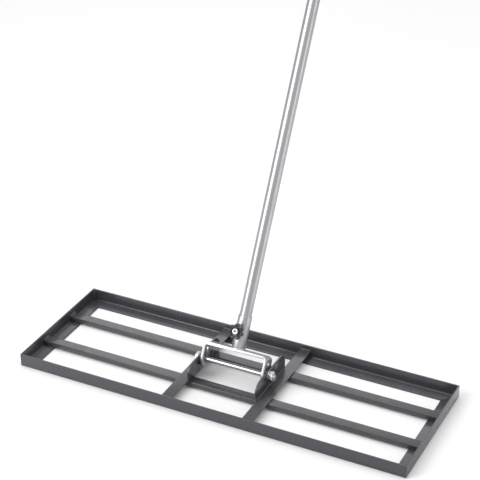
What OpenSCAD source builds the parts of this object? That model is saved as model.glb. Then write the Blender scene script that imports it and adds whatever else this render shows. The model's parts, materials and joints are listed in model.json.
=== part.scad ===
// Lawn levelling rake: a ladder frame of angle iron and box bars that is
// dragged flat over loose soil or top dressing by a long pivoting pole.
//
// Frame of the model: the origin is the centre of the frame's underside,
// +X runs along the frame's length, +Y points back (the side towards which
// the pole leans) and +Z is up. All sizes are in millimetres.

/* [Frame] */
// Length of the frame along X
frame_length = 762; // [600:1:1000]
// Depth of the frame along Y
frame_depth = 262; // [240:1:320]
// Leg of the angle iron
angle_leg = 25.4; // [24:0.1:32]
// Thickness of the angle iron
angle_wall = 3; // [2.5:0.1:4]
// Distance of each inner bar from the frame's centre line
bar_offset = 47; // [44:1:52]
// Width of the inner box bars
bar_width = 20; // [16:1:22]
// Height of the inner box bars
bar_height = 10; // [8:1:12]

/* [Bridge] */
// Distance of each cross bar's middle from the frame's centre
cross_bar_offset = 80; // [80:1:120]
// Width of the cross bars
cross_bar_width = 22; // [18:1:22]
// Thickness of the cross bars and of the pivot plates
strip_thickness = 3; // [3:0.5:4]
// Length of a pivot plate
plate_length = 122; // [116:1:140]
// Height of a pivot plate above the inner bars
plate_height = 34.5; // [34:0.5:40]

/* [Pivot] */
// Y of the pivot pin
pivot_y = -8; // [-12:1:12]
// Height of the pivot pin above the ground
pivot_z = 37; // [36:0.5:40]
// Lean of the pole, back from upright
pole_lean = 28.5; // [0:0.5:60]
// Diameter of the pivot bolt
bolt_d = 10; // [10:1:12]
// Width across the outer faces of the yoke's legs
yoke_span = 127; // [110:1:127]
// Width of the yoke's strap
strap_width = 28; // [24:1:32]
// Thickness of the yoke's strap
strap_thickness = 5; // [4:0.5:6]
// Height of the yoke's bridge above the pivot
yoke_height = 33; // [32:1:48]

/* [Pole] */
// Outer diameter of the pole
pole_d = 22.2; // [22:0.1:22.4]
// Length of the visible body of one pole section
section_length = 650; // [400:10:800]
// Length of the reduced end that plugs into the next section
spigot_length = 38; // [34:1:50]
// Length of the hand grip
grip_length = 112; // [90:1:160]
// Outer diameter of the hand grip
grip_d = 28; // [26:0.5:34]
// Outer diameter of the socket on the yoke
socket_d = 25.4; // [25.4:0.1:27]
// Length of the socket
socket_length = 62; // [56:1:90]

/* [Clamp] */
// Diameter of the star knob
knob_d = 30; // [28:1:36]
// Number of lobes on the star knob
knob_lobes = 7; // [5:1:8]
// Thickness of the star knob
knob_thickness = 11; // [10:0.5:14]

/* [Hidden] */

$fn = 64;

// Colours
frame_black = "#3d3d40";
bright_zinc = "#c9cacc";
plain_steel = "#9b9ca0";
knob_black = "#202124";
grip_grey = "#3a3b3d";

// Angle iron: the inner fillet, the outer heel and the toes are rounded
fillet_r = 3;
heel_r = 2.5;
toe_r = 1.4;
mitre_reach = angle_leg + 1;

// Inner bars: thin box section that lies on the end rails' bottom flanges
bar_wall = 1.5;
bar_corner_r = 1.6;
bar_inner_r = 0.5;
bar_bottom = angle_wall;
bar_top = bar_bottom + bar_height;
bar_length = frame_length - 2 * (angle_wall + fillet_r);
end_face_x = frame_length / 2 - angle_wall;
side_face_y = frame_depth / 2 - angle_wall;

// Cross bars and plates stand on the inner bars
cross_bar_top = bar_top + strip_thickness;
cross_bar_inner_x = cross_bar_offset - cross_bar_width / 2;
strip_edge_r = 0.6;
plate_inner_x = cross_bar_inner_x - strip_thickness;
plate_front_edge = 21.5;
plate_nose_r = 25;
plate_tail_y = 13;
plate_tail_z = 12.5;
plate_hole_r = bolt_d / 2 + 0.2;

// Weld beads
frame_bead_r = 3;
strip_bead_r = 2;
plate_bead_r = 1.5;
bead_end_margin = 2;
socket_bead_height = 2.5;
socket_bead_toe = 0.5;

// Pivot hardware, M10: 17 mm across flats
hex_af = 17;
hex_r = hex_af / sqrt(3);
head_height = 6.4;
nut_height = 8;
nut_collar_height = 1.8;
nut_collar_r = 7;
bolt_tip = 2;
bolt_tip_chamfer = 0.8;
washer_r = 10;
washer_thickness = 2;
bolt_seat_x = cross_bar_inner_x + washer_thickness;
running_gap = 0.08;

// Yoke
bend_r = 9;
inner_bend_r = bend_r - strap_thickness;
lock_hole_r = 4.5;
lock_hole_z = 20;

// Socket and clamp: the screw comes in from the front
socket_r = socket_d / 2;
socket_bore_r = pole_d / 2 + 0.1;
socket_top = yoke_height + socket_length;
lip_chamfer = 0.5;
clamp_z = 66;
clamp_hole_r = 4.4;
clamp_nut_af = 13;
clamp_nut_face = 19.2;
clamp_nut_cope = 3;
screw_r = 4;
pad_r = 3.4;
pad_thickness = 1.5;
pad_face = pole_d / 2 + 0.3;
pad_back = pad_face + pad_thickness;
knob_back = 22.2;
knob_front = knob_back + knob_thickness;
knob_r = knob_d / 2;
lobe_r = 3.6;
lobe_pitch_r = knob_r - lobe_r;
knob_core_r = lobe_pitch_r;
valley_r = 2.6;
valley_pitch_r = knob_core_r + 0.6;
dish_r = 20.8;
dish_rise = 20;
knob_edge_r = 2.5;
insert_r = 5.5;
insert_back = knob_back + 1.5;
insert_front = knob_front + 0.6;
insert_socket_depth = 3;
insert_socket_r = 2.9;
screw_grip = 4;

// Pole
pole_r = pole_d / 2;
tube_wall = 1.1;
spigot_fit = 0.1;
pole_bore_r = pole_r - tube_wall;
spigot_r = pole_bore_r - spigot_fit;
spigot_bore_r = spigot_r - tube_wall;
shoulder_height = 0.8;
joint_gap = 0.3;
pole_start = yoke_height + 0.5;
section_pitch = section_length + joint_gap;
upper_length = section_length + spigot_length;
pole_end = pole_start + 2 * section_pitch + upper_length;
grip_r = grip_d / 2;
grip_lip_r = grip_r + 1;
grip_waist_r = grip_r - 1.2;
grip_cap = 3;
grip_start = pole_end - grip_length + grip_cap;
grip_rib_count = 9;
grip_rib_depth = 0.7;

// Spring buttons that lock the pole sections together
button_z = section_length + spigot_length / 2;
button_r = 3;
button_hole_r = 3.3;
button_face = pole_r + 1.2;
button_dome = 1.2;
button_base = 6.2;
button_flange_r = 4.1;
button_flange_top = 7.5;
clip_width = 6;
clip_thickness = 0.8;
clip_front = button_base - 0.1;
clip_rear = spigot_bore_r - 0.6;
clip_bend_r = (clip_front + clip_rear) / 2;
clip_leg = 34;
clip_overrun = 6;

// ---------------------------------------------------------------- helpers

// Corner piece to cut away so that a square corner at the origin gets radius r
module corner_cut(r) {
    difference() {
        translate([-1, -1]) square([r + 1, r + 1]);
        translate([r, r]) circle(r);
    }
}

module rounded_rect(w, h, r) {
    difference() {
        square([w, h]);
        corner_cut(r);
        translate([w, 0]) rotate(90) corner_cut(r);
        translate([w, h]) rotate(180) corner_cut(r);
        translate([0, h]) rotate(-90) corner_cut(r);
    }
}

// Section of the angle iron: outer heel at the origin, one leg flat, one up
module angle_section() {
    difference() {
        square([angle_leg, angle_leg]);
        translate([angle_wall + fillet_r, angle_wall]) square([angle_leg, angle_leg]);
        translate([angle_wall, angle_wall + fillet_r]) square([angle_leg, angle_leg]);
        translate([angle_wall + fillet_r, angle_wall + fillet_r]) circle(fillet_r);
        corner_cut(heel_r);
        translate([angle_leg, angle_wall]) rotate(180) corner_cut(toe_r);
        translate([angle_wall, angle_leg]) rotate(180) corner_cut(toe_r);
    }
}

// Carries a section drawn in (Y, Z) along X, centred
module along_x(length) {
    rotate([90, 0, 90]) linear_extrude(length, center = true) children();
}

// Carries a section drawn in (X, Z) along Y, centred
module along_y(length) {
    rotate([90, 0, 0]) linear_extrude(length, center = true) children();
}

// Ring about the X axis between two X values
module ring_x(r_out, r_in, x0, x1) {
    translate([x0, 0, 0]) rotate([0, 90, 0]) difference() {
        cylinder(h = x1 - x0, r = r_out);
        translate([0, 0, -1]) cylinder(h = x1 - x0 + 2, r = r_in);
    }
}

module hex_x(x0, x1) {
    translate([x0, 0, 0]) rotate([0, 90, 0]) cylinder(h = x1 - x0, r = hex_r, $fn = 6);
}

module both_sides() {
    children();
    mirror([1, 0, 0]) children();
}

// The pivot's own axis, upright
module at_pivot() {
    translate([0, pivot_y, pivot_z]) children();
}

// The yoke's and the pole's own frame: +Z runs up the pole, +Y to its rear
module on_pole() {
    at_pivot() rotate([-pole_lean, 0, 0]) children();
}

// A frame on the pole whose +Z points out to the front at height z
module facing_front(z) {
    on_pole() translate([0, 0, z]) rotate([90, 0, 0]) children();
}

// ------------------------------------------------------------ outer frame

module long_rail() {
    half_l = frame_length / 2;
    half_d = frame_depth / 2;
    intersection() {
        translate([0, -half_d, 0]) along_x(frame_length) angle_section();
        linear_extrude(angle_leg) polygon([
            [-half_l, -half_d],
            [half_l, -half_d],
            [half_l - mitre_reach, -half_d + mitre_reach],
            [-half_l + mitre_reach, -half_d + mitre_reach]
        ]);
    }
}

module end_rail() {
    half_l = frame_length / 2;
    half_d = frame_depth / 2;
    intersection() {
        translate([-half_l, 0, 0]) along_y(frame_depth) angle_section();
        linear_extrude(angle_leg) polygon([
            [-half_l, -half_d],
            [-half_l, half_d],
            [-half_l + mitre_reach, half_d - mitre_reach],
            [-half_l + mitre_reach, -half_d + mitre_reach]
        ]);
    }
}

module front_rail() {
    color(frame_black) long_rail();
}

module rear_rail() {
    color(frame_black) mirror([0, 1, 0]) long_rail();
}

module left_end_rail() {
    color(frame_black) end_rail();
}

module right_end_rail() {
    color(frame_black) mirror([1, 0, 0]) end_rail();
}

// Upright beads in the four inner corners, from the bottom flange up
module corner_welds() {
    color(frame_black)
        for (sx = [-1, 1], sy = [-1, 1])
            intersection() {
                translate([sx * end_face_x, sy * side_face_y, angle_wall + fillet_r])
                    cylinder(h = angle_leg - angle_wall - fillet_r - toe_r, r = frame_bead_r);
                linear_extrude(angle_leg) square([2 * end_face_x, 2 * side_face_y], center = true);
            }
}

// ------------------------------------------------------------- inner bars

module inner_bar() {
    translate([0, bar_offset - bar_width / 2, bar_bottom]) along_x(bar_length) difference() {
        rounded_rect(bar_width, bar_height, bar_corner_r);
        translate([bar_wall, bar_wall])
            rounded_rect(bar_width - 2 * bar_wall, bar_height - 2 * bar_wall, bar_inner_r);
    }
}

module front_inner_bar() {
    color(frame_black) mirror([0, 1, 0]) inner_bar();
}

module rear_inner_bar() {
    color(frame_black) inner_bar();
}

// One bead across each bar's end, filling the corner above the rail's fillet
module bar_end_welds() {
    bead_length = bar_width - 2 * bar_corner_r;
    bead_x = bar_length / 2;
    bead_h = bar_height - bar_corner_r;
    color(frame_black)
        for (sy = [-1, 1])
            both_sides() difference() {
                translate([bead_x, sy * bar_offset - bead_length / 2, bar_bottom + fillet_r])
                    cube([end_face_x - bead_x, bead_length, bead_h - fillet_r]);
                translate([bead_x, sy * bar_offset, bar_top])
                    rotate([90, 0, 0])
                        cylinder(h = bar_width, r = bar_corner_r + 0.6, center = true);
            }
}

// ------------------------------------------------- cross bars and plates

module cross_bar() {
    translate([cross_bar_inner_x, 0, bar_top]) along_y(2 * side_face_y)
        rounded_rect(cross_bar_width, strip_thickness, strip_edge_r);
}

module right_cross_bar() {
    color(frame_black) cross_bar();
}

module left_cross_bar() {
    color(frame_black) mirror([1, 0, 0]) cross_bar();
}

// Beads where the cross bars meet the upright legs of the long rails
module cross_bar_welds() {
    bead_length = cross_bar_width - 2;
    color(frame_black)
        for (sx = [-1, 1], sy = [-1, 1])
            intersection() {
                translate([sx * cross_bar_offset, sy * side_face_y, cross_bar_top])
                    rotate([0, 90, 0])
                        cylinder(h = bead_length, r = strip_bead_r, center = true);
                translate([-frame_length / 2, -side_face_y, cross_bar_top])
                    cube([frame_length, 2 * side_face_y, angle_leg]);
            }
}

// Outline of a pivot plate in (Y, Z): a long rounded nose and a cut-off tail
module plate_outline() {
    half = plate_length / 2;
    drop = plate_height - plate_front_edge;
    nose_y = -half + sqrt(drop * (2 * plate_nose_r - drop));
    difference() {
        translate([-half, 0]) square([plate_length, plate_height]);
        difference() {
            translate([-half - 1, plate_front_edge]) square([nose_y + half + 1, drop + 1]);
            translate([nose_y, plate_height - plate_nose_r]) circle(plate_nose_r, $fn = 128);
        }
        polygon([
            [half - plate_tail_y, plate_height],
            [half, plate_height - plate_tail_z],
            [half + 1, plate_height + 1],
            [half - plate_tail_y, plate_height + 1]
        ]);
        translate([pivot_y, pivot_z - bar_top]) circle(plate_hole_r);
    }
}

module pivot_plate() {
    translate([plate_inner_x + strip_thickness / 2, 0, bar_top])
        along_x(strip_thickness) plate_outline();
}

module right_pivot_plate() {
    color(frame_black) pivot_plate();
}

module left_pivot_plate() {
    color(frame_black) mirror([1, 0, 0]) pivot_plate();
}

// A bead along the foot of each plate, on its cross bar
module plate_welds() {
    color(frame_black)
        both_sides() intersection() {
            translate([cross_bar_inner_x, 0, cross_bar_top])
                rotate([90, 0, 0])
                    cylinder(h = plate_length - 2 * bead_end_margin, r = plate_bead_r, center = true);
            translate([cross_bar_inner_x, -frame_depth / 2, cross_bar_top])
                cube([strip_bead_r, frame_depth, strip_bead_r]);
        }
}

// --------------------------------------------------------- pivot hardware

module pivot_bolt() {
    tip_x = bolt_seat_x + nut_height + nut_collar_height + bolt_tip;
    color(bright_zinc) at_pivot() union() {
        hex_x(-bolt_seat_x - head_height, -bolt_seat_x);
        translate([-bolt_seat_x, 0, 0]) rotate([0, 90, 0])
            cylinder(h = tip_x + bolt_seat_x - 1, r = bolt_d / 2);
        translate([tip_x - 1, 0, 0]) rotate([0, 90, 0])
            cylinder(h = 1, r1 = bolt_d / 2, r2 = bolt_d / 2 - bolt_tip_chamfer);
    }
}

module pivot_nut() {
    collar_x = bolt_seat_x + nut_height;
    color(bright_zinc) at_pivot() difference() {
        union() {
            hex_x(bolt_seat_x, collar_x);
            ring_x(nut_collar_r, 1, collar_x, collar_x + nut_collar_height);
        }
        translate([bolt_seat_x - 1, 0, 0]) rotate([0, 90, 0])
            cylinder(h = nut_height + nut_collar_height + 2, r = bolt_d / 2);
    }
}

module outer_washers() {
    color(bright_zinc) at_pivot() both_sides()
        ring_x(washer_r, plate_hole_r, cross_bar_inner_x, bolt_seat_x);
}

module inner_washers() {
    color(bright_zinc) at_pivot() both_sides()
        ring_x(washer_r, plate_hole_r, plate_inner_x - washer_thickness, plate_inner_x);
}

// ------------------------------------------------------- yoke and socket

// The bent strap seen from the front
module strap_bend() {
    half = yoke_span / 2;
    inner = half - strap_thickness;
    low = -strap_width;
    difference() {
        translate([-half, low]) square([yoke_span, yoke_height - low]);
        translate([half, yoke_height]) rotate(180) corner_cut(bend_r);
        translate([-half, yoke_height]) rotate(-90) corner_cut(bend_r);
        difference() {
            translate([-inner, low - 1]) square([2 * inner, yoke_height - strap_thickness - low + 1]);
            translate([inner, yoke_height - strap_thickness]) rotate(180) corner_cut(inner_bend_r);
            translate([-inner, yoke_height - strap_thickness]) rotate(-90) corner_cut(inner_bend_r);
        }
    }
}

// The strap seen from the side: straight edges and a round foot at the pivot
module strap_side() {
    translate([-strap_width / 2, 0]) square([strap_width, yoke_height]);
    circle(strap_width / 2);
}

module yoke() {
    color(bright_zinc) on_pole() difference() {
        intersection() {
            along_y(strap_width) strap_bend();
            along_x(yoke_span) strap_side();
        }
        rotate([0, 90, 0])
            cylinder(h = yoke_span + 2, r = bolt_d / 2 + running_gap, center = true);
        translate([0, 0, lock_hole_z]) rotate([0, 90, 0])
            cylinder(h = yoke_span + 2, r = lock_hole_r, center = true);
    }
}

module handle_socket() {
    color(bright_zinc) difference() {
        on_pole() rotate_extrude() polygon([
            [socket_bore_r, yoke_height],
            [socket_r, yoke_height],
            [socket_r, socket_top - lip_chamfer],
            [socket_r - lip_chamfer, socket_top],
            [socket_bore_r, socket_top]
        ]);
        facing_front(clamp_z) cylinder(h = socket_d, r = clamp_hole_r);
    }
}

// The bead is as wide as the strap leaves room for beside the socket
module socket_weld() {
    bead_r = strap_width / 2 - socket_r;
    color(bright_zinc) on_pole() rotate_extrude() polygon([
        [socket_r, yoke_height],
        [socket_r + bead_r, yoke_height],
        [socket_r + bead_r, yoke_height + socket_bead_toe],
        [socket_r, yoke_height + socket_bead_height]
    ]);
}

// Hexagonal boss, coped to the socket and tapped for the clamp screw
module clamp_nut() {
    color(bright_zinc) difference() {
        facing_front(clamp_z) difference() {
            translate([0, 0, socket_r - clamp_nut_cope])
                cylinder(
                    h = clamp_nut_face - socket_r + clamp_nut_cope,
                    r = clamp_nut_af / sqrt(3), $fn = 6
                );
            cylinder(h = clamp_nut_face + 1, r = screw_r + running_gap);
        }
        on_pole() cylinder(h = socket_top, r = socket_r);
    }
}

// ------------------------------------------------------------ clamp screw

module clamp_pad() {
    color("#b08d4a") facing_front(clamp_z) translate([0, 0, pad_face])
        cylinder(h = pad_thickness, r = pad_r);
}

module clamp_screw() {
    color(plain_steel) facing_front(clamp_z) translate([0, 0, pad_back])
        cylinder(h = insert_back + screw_grip - pad_back, r = screw_r);
}

module star_outline() {
    step = 360 / knob_lobes;
    difference() {
        union() {
            circle(knob_core_r);
            for (i = [0 : knob_lobes - 1])
                rotate(90 + i * step) translate([lobe_pitch_r, 0]) circle(lobe_r, $fn = 48);
        }
        for (i = [0 : knob_lobes - 1])
            rotate(90 + (i + 0.5) * step) translate([valley_pitch_r, 0])
                circle(valley_r, $fn = 48);
    }
}

// The knob's turned envelope: both rims are rounded and the face is dished
module knob_envelope() {
    rotate_extrude() difference() {
        square([knob_r, knob_thickness]);
        translate([knob_r, 0]) rotate(90) corner_cut(knob_edge_r);
        translate([knob_r, knob_thickness]) rotate(180) corner_cut(knob_edge_r);
        translate([0, knob_thickness + dish_rise]) circle(dish_r, $fn = 128);
    }
}

module star_knob() {
    color(knob_black) facing_front(clamp_z) translate([0, 0, knob_back]) difference() {
        intersection() {
            linear_extrude(knob_thickness) star_outline();
            knob_envelope();
        }
        translate([0, 0, -1]) cylinder(h = knob_thickness, r = screw_r);
        translate([0, 0, insert_back - knob_back]) cylinder(h = knob_thickness, r = insert_r);
    }
}

// Steel bush moulded into the knob, with a hexagon recess in its face
module knob_insert() {
    color(bright_zinc) facing_front(clamp_z) difference() {
        translate([0, 0, insert_back]) cylinder(h = insert_front - insert_back, r = insert_r);
        translate([0, 0, insert_back - 1]) cylinder(h = screw_grip + 1, r = screw_r);
        translate([0, 0, insert_front - insert_socket_depth])
            cylinder(h = insert_socket_depth + 1, r = insert_socket_r, $fn = 6);
    }
}

// ------------------------------------------------------------------- pole

// Half section of a tube with a reduced spigot at its top
module spigot_tube_section() {
    neck = section_length - shoulder_height;
    spigot_top = section_length + spigot_length;
    polygon([
        [pole_bore_r, 0],
        [pole_r, 0],
        [pole_r, neck],
        [spigot_r, section_length],
        [spigot_r, spigot_top],
        [spigot_bore_r, spigot_top],
        [spigot_bore_r, section_length - 2],
        [pole_bore_r, section_length - 4]
    ]);
}

// Drill for a spring button's hole, from the axis out to the front
module button_drill(z) {
    translate([0, 0, z]) rotate([90, 0, 0]) cylinder(h = pole_d, r = button_hole_r);
}

module spigot_tube(start, has_lower_joint) {
    color(bright_zinc) on_pole() translate([0, 0, start]) difference() {
        rotate_extrude() spigot_tube_section();
        button_drill(button_z);
        if (has_lower_joint) button_drill(button_z - section_pitch);
    }
}

module lower_tube() {
    spigot_tube(pole_start, false);
}

module middle_tube() {
    spigot_tube(pole_start + section_pitch, true);
}

module upper_tube() {
    color(bright_zinc) on_pole() translate([0, 0, pole_start + 2 * section_pitch]) difference() {
        cylinder(h = upper_length, r = pole_r);
        translate([0, 0, -1]) cylinder(h = upper_length + 2, r = pole_bore_r);
        button_drill(button_z - section_pitch);
    }
}

// Moulded grip: flared lip, ribbed waist and a closed, rounded cap
module grip_section() {
    cap_r = 6;
    lip_height = 6;
    waist_start = 14;
    waist_end = grip_length - 20;
    rib_pitch = (waist_end - waist_start) / grip_rib_count;
    difference() {
        polygon([
            [0, 0],
            [grip_lip_r, 0],
            [grip_lip_r, lip_height],
            [grip_waist_r, waist_start],
            [grip_waist_r, waist_end],
            [grip_r, waist_end + 6],
            [grip_r, grip_length],
            [0, grip_length]
        ]);
        translate([grip_r, grip_length]) rotate(180) corner_cut(cap_r);
        translate([grip_lip_r, 0]) rotate(90) corner_cut(1.5);
        for (i = [0 : grip_rib_count])
            translate([grip_waist_r + 0.6, waist_start + i * rib_pitch])
                circle(grip_rib_depth + 0.6, $fn = 32);
        translate([-1, -1]) square([pole_r + 1, grip_length - grip_cap + 1]);
    }
}

module hand_grip() {
    color(grip_grey) on_pole() translate([0, 0, grip_start]) rotate_extrude() grip_section();
}

// --------------------------------------------------------- spring buttons

// Leaf of the button clip in (Y, Z), Z measured from the button's axis
module clip_outline() {
    bend_y = clip_rear - clip_bend_r;
    translate([-clip_front, -clip_leg]) square([clip_thickness, clip_leg + clip_overrun]);
    translate([clip_rear - clip_thickness, -clip_leg])
        square([clip_thickness, clip_leg + clip_overrun]);
    translate([bend_y, -clip_leg]) difference() {
        circle(clip_bend_r);
        circle(clip_bend_r - clip_thickness);
        translate([-clip_bend_r - 1, 0]) square([2 * clip_bend_r + 2, clip_bend_r + 1]);
    }
}

module clip_spring(start) {
    color(plain_steel) on_pole() translate([0, 0, start + button_z])
        along_x(clip_width) clip_outline();
}

module spring_button(start) {
    stem = button_face - button_dome;
    color(plain_steel) facing_front(start + button_z) rotate_extrude() union() {
        translate([0, button_base]) square([button_flange_r, button_flange_top - button_base]);
        translate([0, button_base]) square([button_r, stem - button_base]);
        translate([0, stem]) square([button_r - button_dome, button_dome]);
        intersection() {
            translate([button_r - button_dome, stem]) circle(button_dome);
            translate([0, stem]) square([button_r, button_dome]);
        }
    }
}

module lower_clip_spring() {
    clip_spring(pole_start);
}

module upper_clip_spring() {
    clip_spring(pole_start + section_pitch);
}

module lower_button() {
    spring_button(pole_start);
}

module upper_button() {
    spring_button(pole_start + section_pitch);
}

front_rail();
rear_rail();
left_end_rail();
right_end_rail();
front_inner_bar();
rear_inner_bar();
left_cross_bar();
right_cross_bar();
left_pivot_plate();
right_pivot_plate();
corner_welds();
bar_end_welds();
cross_bar_welds();
plate_welds();
pivot_bolt();
pivot_nut();
outer_washers();
inner_washers();
yoke();
handle_socket();
socket_weld();
clamp_nut();
clamp_pad();
clamp_screw();
star_knob();
knob_insert();
lower_tube();
middle_tube();
upper_tube();
hand_grip();
lower_clip_spring();
upper_clip_spring();
lower_button();
upper_button();
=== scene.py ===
"""Looks of a lawn levelling rake: finishes, welds, fasteners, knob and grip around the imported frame."""

import json
import logging
import math
from collections.abc import Callable, Iterable, Sequence
from dataclasses import dataclass, field
from enum import Enum

import bmesh
import bpy
from mathutils import Matrix, Vector


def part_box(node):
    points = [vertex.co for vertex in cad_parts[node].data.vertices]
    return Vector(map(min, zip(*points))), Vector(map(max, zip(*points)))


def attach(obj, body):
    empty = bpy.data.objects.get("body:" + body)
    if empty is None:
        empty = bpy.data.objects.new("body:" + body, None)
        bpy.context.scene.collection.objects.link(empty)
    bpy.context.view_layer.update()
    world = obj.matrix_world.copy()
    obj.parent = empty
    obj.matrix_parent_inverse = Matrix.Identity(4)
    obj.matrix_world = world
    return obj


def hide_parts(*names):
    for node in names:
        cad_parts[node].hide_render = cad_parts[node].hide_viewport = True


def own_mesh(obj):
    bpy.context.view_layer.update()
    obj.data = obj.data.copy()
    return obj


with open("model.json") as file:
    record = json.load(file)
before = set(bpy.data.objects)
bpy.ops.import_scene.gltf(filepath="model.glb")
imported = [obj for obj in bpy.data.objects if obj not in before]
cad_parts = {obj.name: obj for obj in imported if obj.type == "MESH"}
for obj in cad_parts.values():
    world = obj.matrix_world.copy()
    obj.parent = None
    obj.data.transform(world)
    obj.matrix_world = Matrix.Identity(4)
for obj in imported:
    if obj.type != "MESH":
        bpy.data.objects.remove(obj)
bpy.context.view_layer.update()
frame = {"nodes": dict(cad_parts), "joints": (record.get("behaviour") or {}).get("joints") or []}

MM = 0.001
SMOOTH_ANGLE = math.radians(35)
EASE_ANGLE = math.radians(32)
FLAT_ANGLE = math.radians(0.6)
SIXTH_TURN = math.pi / 3
COARSE_TURN = 48
ROUND_TURN = 72
FINE_TURN = 96

logging.basicConfig(level=logging.INFO, format="%(levelname)s %(message)s")
log = logging.getLogger("rake")

Point = tuple[float, float]
MeshData = tuple[list[Vector], list[tuple[int, ...]]]


# ------------------------------------------------------------------ places


@dataclass(frozen=True)
class Place:
    """A local frame: an origin and three unit axes in the row frame."""

    origin: Vector
    x: Vector
    y: Vector
    z: Vector

    def at(self, x: float, y: float, z: float) -> Vector:
        """Gives the row-frame point for local coordinates."""
        return self.origin + self.x * x + self.y * y + self.z * z

    def moved(self, x: float, y: float, z: float) -> "Place":
        """Gives the same axes about another local origin."""
        return Place(self.at(x, y, z), self.x, self.y, self.z)


def joint(name: str) -> dict:
    """Finds a joint of the frame by name.

    Args:
        name: The joint's name in the record.

    Returns:
        The joint's entry, with its axis and position.
    """
    return next(j for j in frame["joints"] if j["name"] == name)


def pole_place() -> Place:
    """Builds the pole's own frame.

    Returns:
        A place at the pivot with z up the pole, y to its rear and x to the right.
    """
    up = Vector(joint("pole_slide")["axis"]).normalized()
    rear = Vector(joint("lower_button_press")["axis"]).normalized()
    return Place(Vector(joint("yoke_tilt")["pos_m"]), rear.cross(up), rear, up)


def front_place(pole: Place, height: float) -> Place:
    """Turns the pole's frame to face forward.

    Args:
        pole: The pole's own frame.
        height: Distance up the pole from the pivot, in metres.

    Returns:
        A place on the pole's axis with z out to the front and y up the pole.
    """
    return Place(pole.at(0, 0, height), pole.x, pole.z, -pole.y)


def side_place() -> Place:
    """Gives a place on the pivot's axis with z to the right, along the bolt."""
    pivot = Vector(joint("yoke_tilt")["pos_m"])
    return Place(pivot, Vector((0, 1, 0)), Vector((0, 0, 1)), Vector((1, 0, 0)))


# ---------------------------------------------------------- shader graphs


class Graph:
    """A thin wrapper that adds and links nodes in one shader tree."""

    def __init__(self, tree: bpy.types.NodeTree) -> None:
        """Starts an empty graph in a node tree.

        Args:
            tree: The tree to fill; what it holds is removed.
        """
        self.tree = tree
        self.tree.nodes.clear()

    def add(self, kind: str, inputs: dict | None = None, **settings: object) -> bpy.types.Node:
        """Adds a node.

        Args:
            kind: Blender's node type name.
            inputs: Constants or output sockets, by input name or index.
            **settings: Properties to set on the node.

        Returns:
            The new node.
        """
        node = self.tree.nodes.new(kind)
        for name, value in settings.items():
            setattr(node, name, value)
        for key, value in (inputs or {}).items():
            if isinstance(value, bpy.types.NodeSocket):
                self.tree.links.new(value, node.inputs[key])
            else:
                node.inputs[key].default_value = value
        return node

    def math(self, operation: str, a: object, b: object = 0.0,
             clamp: bool = False) -> bpy.types.NodeSocket:
        """Adds a Math node.

        Args:
            operation: The node's operation.
            a: First value or socket.
            b: Second value or socket.
            clamp: Whether the result stays between 0 and 1.

        Returns:
            The result's socket.
        """
        node = self.add("ShaderNodeMath", {0: a, 1: b}, operation=operation, use_clamp=clamp)
        return node.outputs[0]

    def noise(self, vector: bpy.types.NodeSocket, scale: object, detail: float = 4.0,
              roughness: float = 0.55) -> bpy.types.NodeSocket:
        """Adds a Noise Texture.

        Args:
            vector: Where the noise is sampled.
            scale: Its scale, as a value or socket.
            detail: Its number of octaves.
            roughness: How strong the fine octaves are.

        Returns:
            The factor's socket.
        """
        node = self.add("ShaderNodeTexNoise", {"Vector": vector, "Scale": scale, "Detail": detail,
                                               "Roughness": roughness})
        return node.outputs["Fac"]

    def remap(self, value: bpy.types.NodeSocket, low: float, high: float, out_low: float = 0.0,
              out_high: float = 1.0) -> bpy.types.NodeSocket:
        """Maps a value's range onto another, clamped.

        Args:
            value: The socket to map.
            low: Input that gives the first output.
            high: Input that gives the second output.
            out_low: First output.
            out_high: Second output.

        Returns:
            The result's socket.
        """
        node = self.add("ShaderNodeMapRange", {0: value, 1: low, 2: high, 3: out_low, 4: out_high})
        return node.outputs[0]

    def mix(self, factor: object, a: object, b: object) -> bpy.types.NodeSocket:
        """Mixes two colours.

        Args:
            factor: Share of the second colour.
            a: First colour or socket.
            b: Second colour or socket.

        Returns:
            The mixed colour's socket.
        """
        node = self.add("ShaderNodeMix", {0: factor, 6: a, 7: b}, data_type="RGBA")
        return node.outputs[2]


class Effect(Enum):
    """The shared effects, each a node group with this name."""

    GRAIN = "surface_grain"
    EDGES = "edge_wear"
    STREAKS = "drawn_streaks"
    DUST = "settled_dust"


SLOW_SHARE = 0.09        # scale of the slow waviness, against the fine grain
BROAD_SHARE = 0.12       # scale of the broad bands, against the fine lines
RAGGED_SCALE = 260.0     # noise that breaks up worn edges
MIDDLE_BAND = (0.35, 0.65)
EDGE_TURN = (0.98, 0.80)  # cosine between true and rounded normal: none, full wear
UPWARD = (0.55, 0.98)    # normal's rise: no dust, full dust
PATCHES = (0.35, 0.75)


def start_group(effect: Effect, inputs: Sequence[tuple[str, float]],
                outputs: Sequence[str]) -> tuple[Graph, bpy.types.Node, bpy.types.Node]:
    """Makes an empty shader group with float sockets.

    Args:
        effect: The effect that names the group.
        inputs: Names and defaults of its inputs.
        outputs: Names of its outputs.

    Returns:
        The graph, its input node and its output node.
    """
    tree = bpy.data.node_groups.new(effect.value, "ShaderNodeTree")
    for name, default in inputs:
        socket = tree.interface.new_socket(name, in_out="INPUT", socket_type="NodeSocketFloat")
        socket.default_value = default
    for name in outputs:
        tree.interface.new_socket(name, in_out="OUTPUT", socket_type="NodeSocketFloat")
    graph = Graph(tree)
    return graph, graph.add("NodeGroupInput"), graph.add("NodeGroupOutput")


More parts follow.
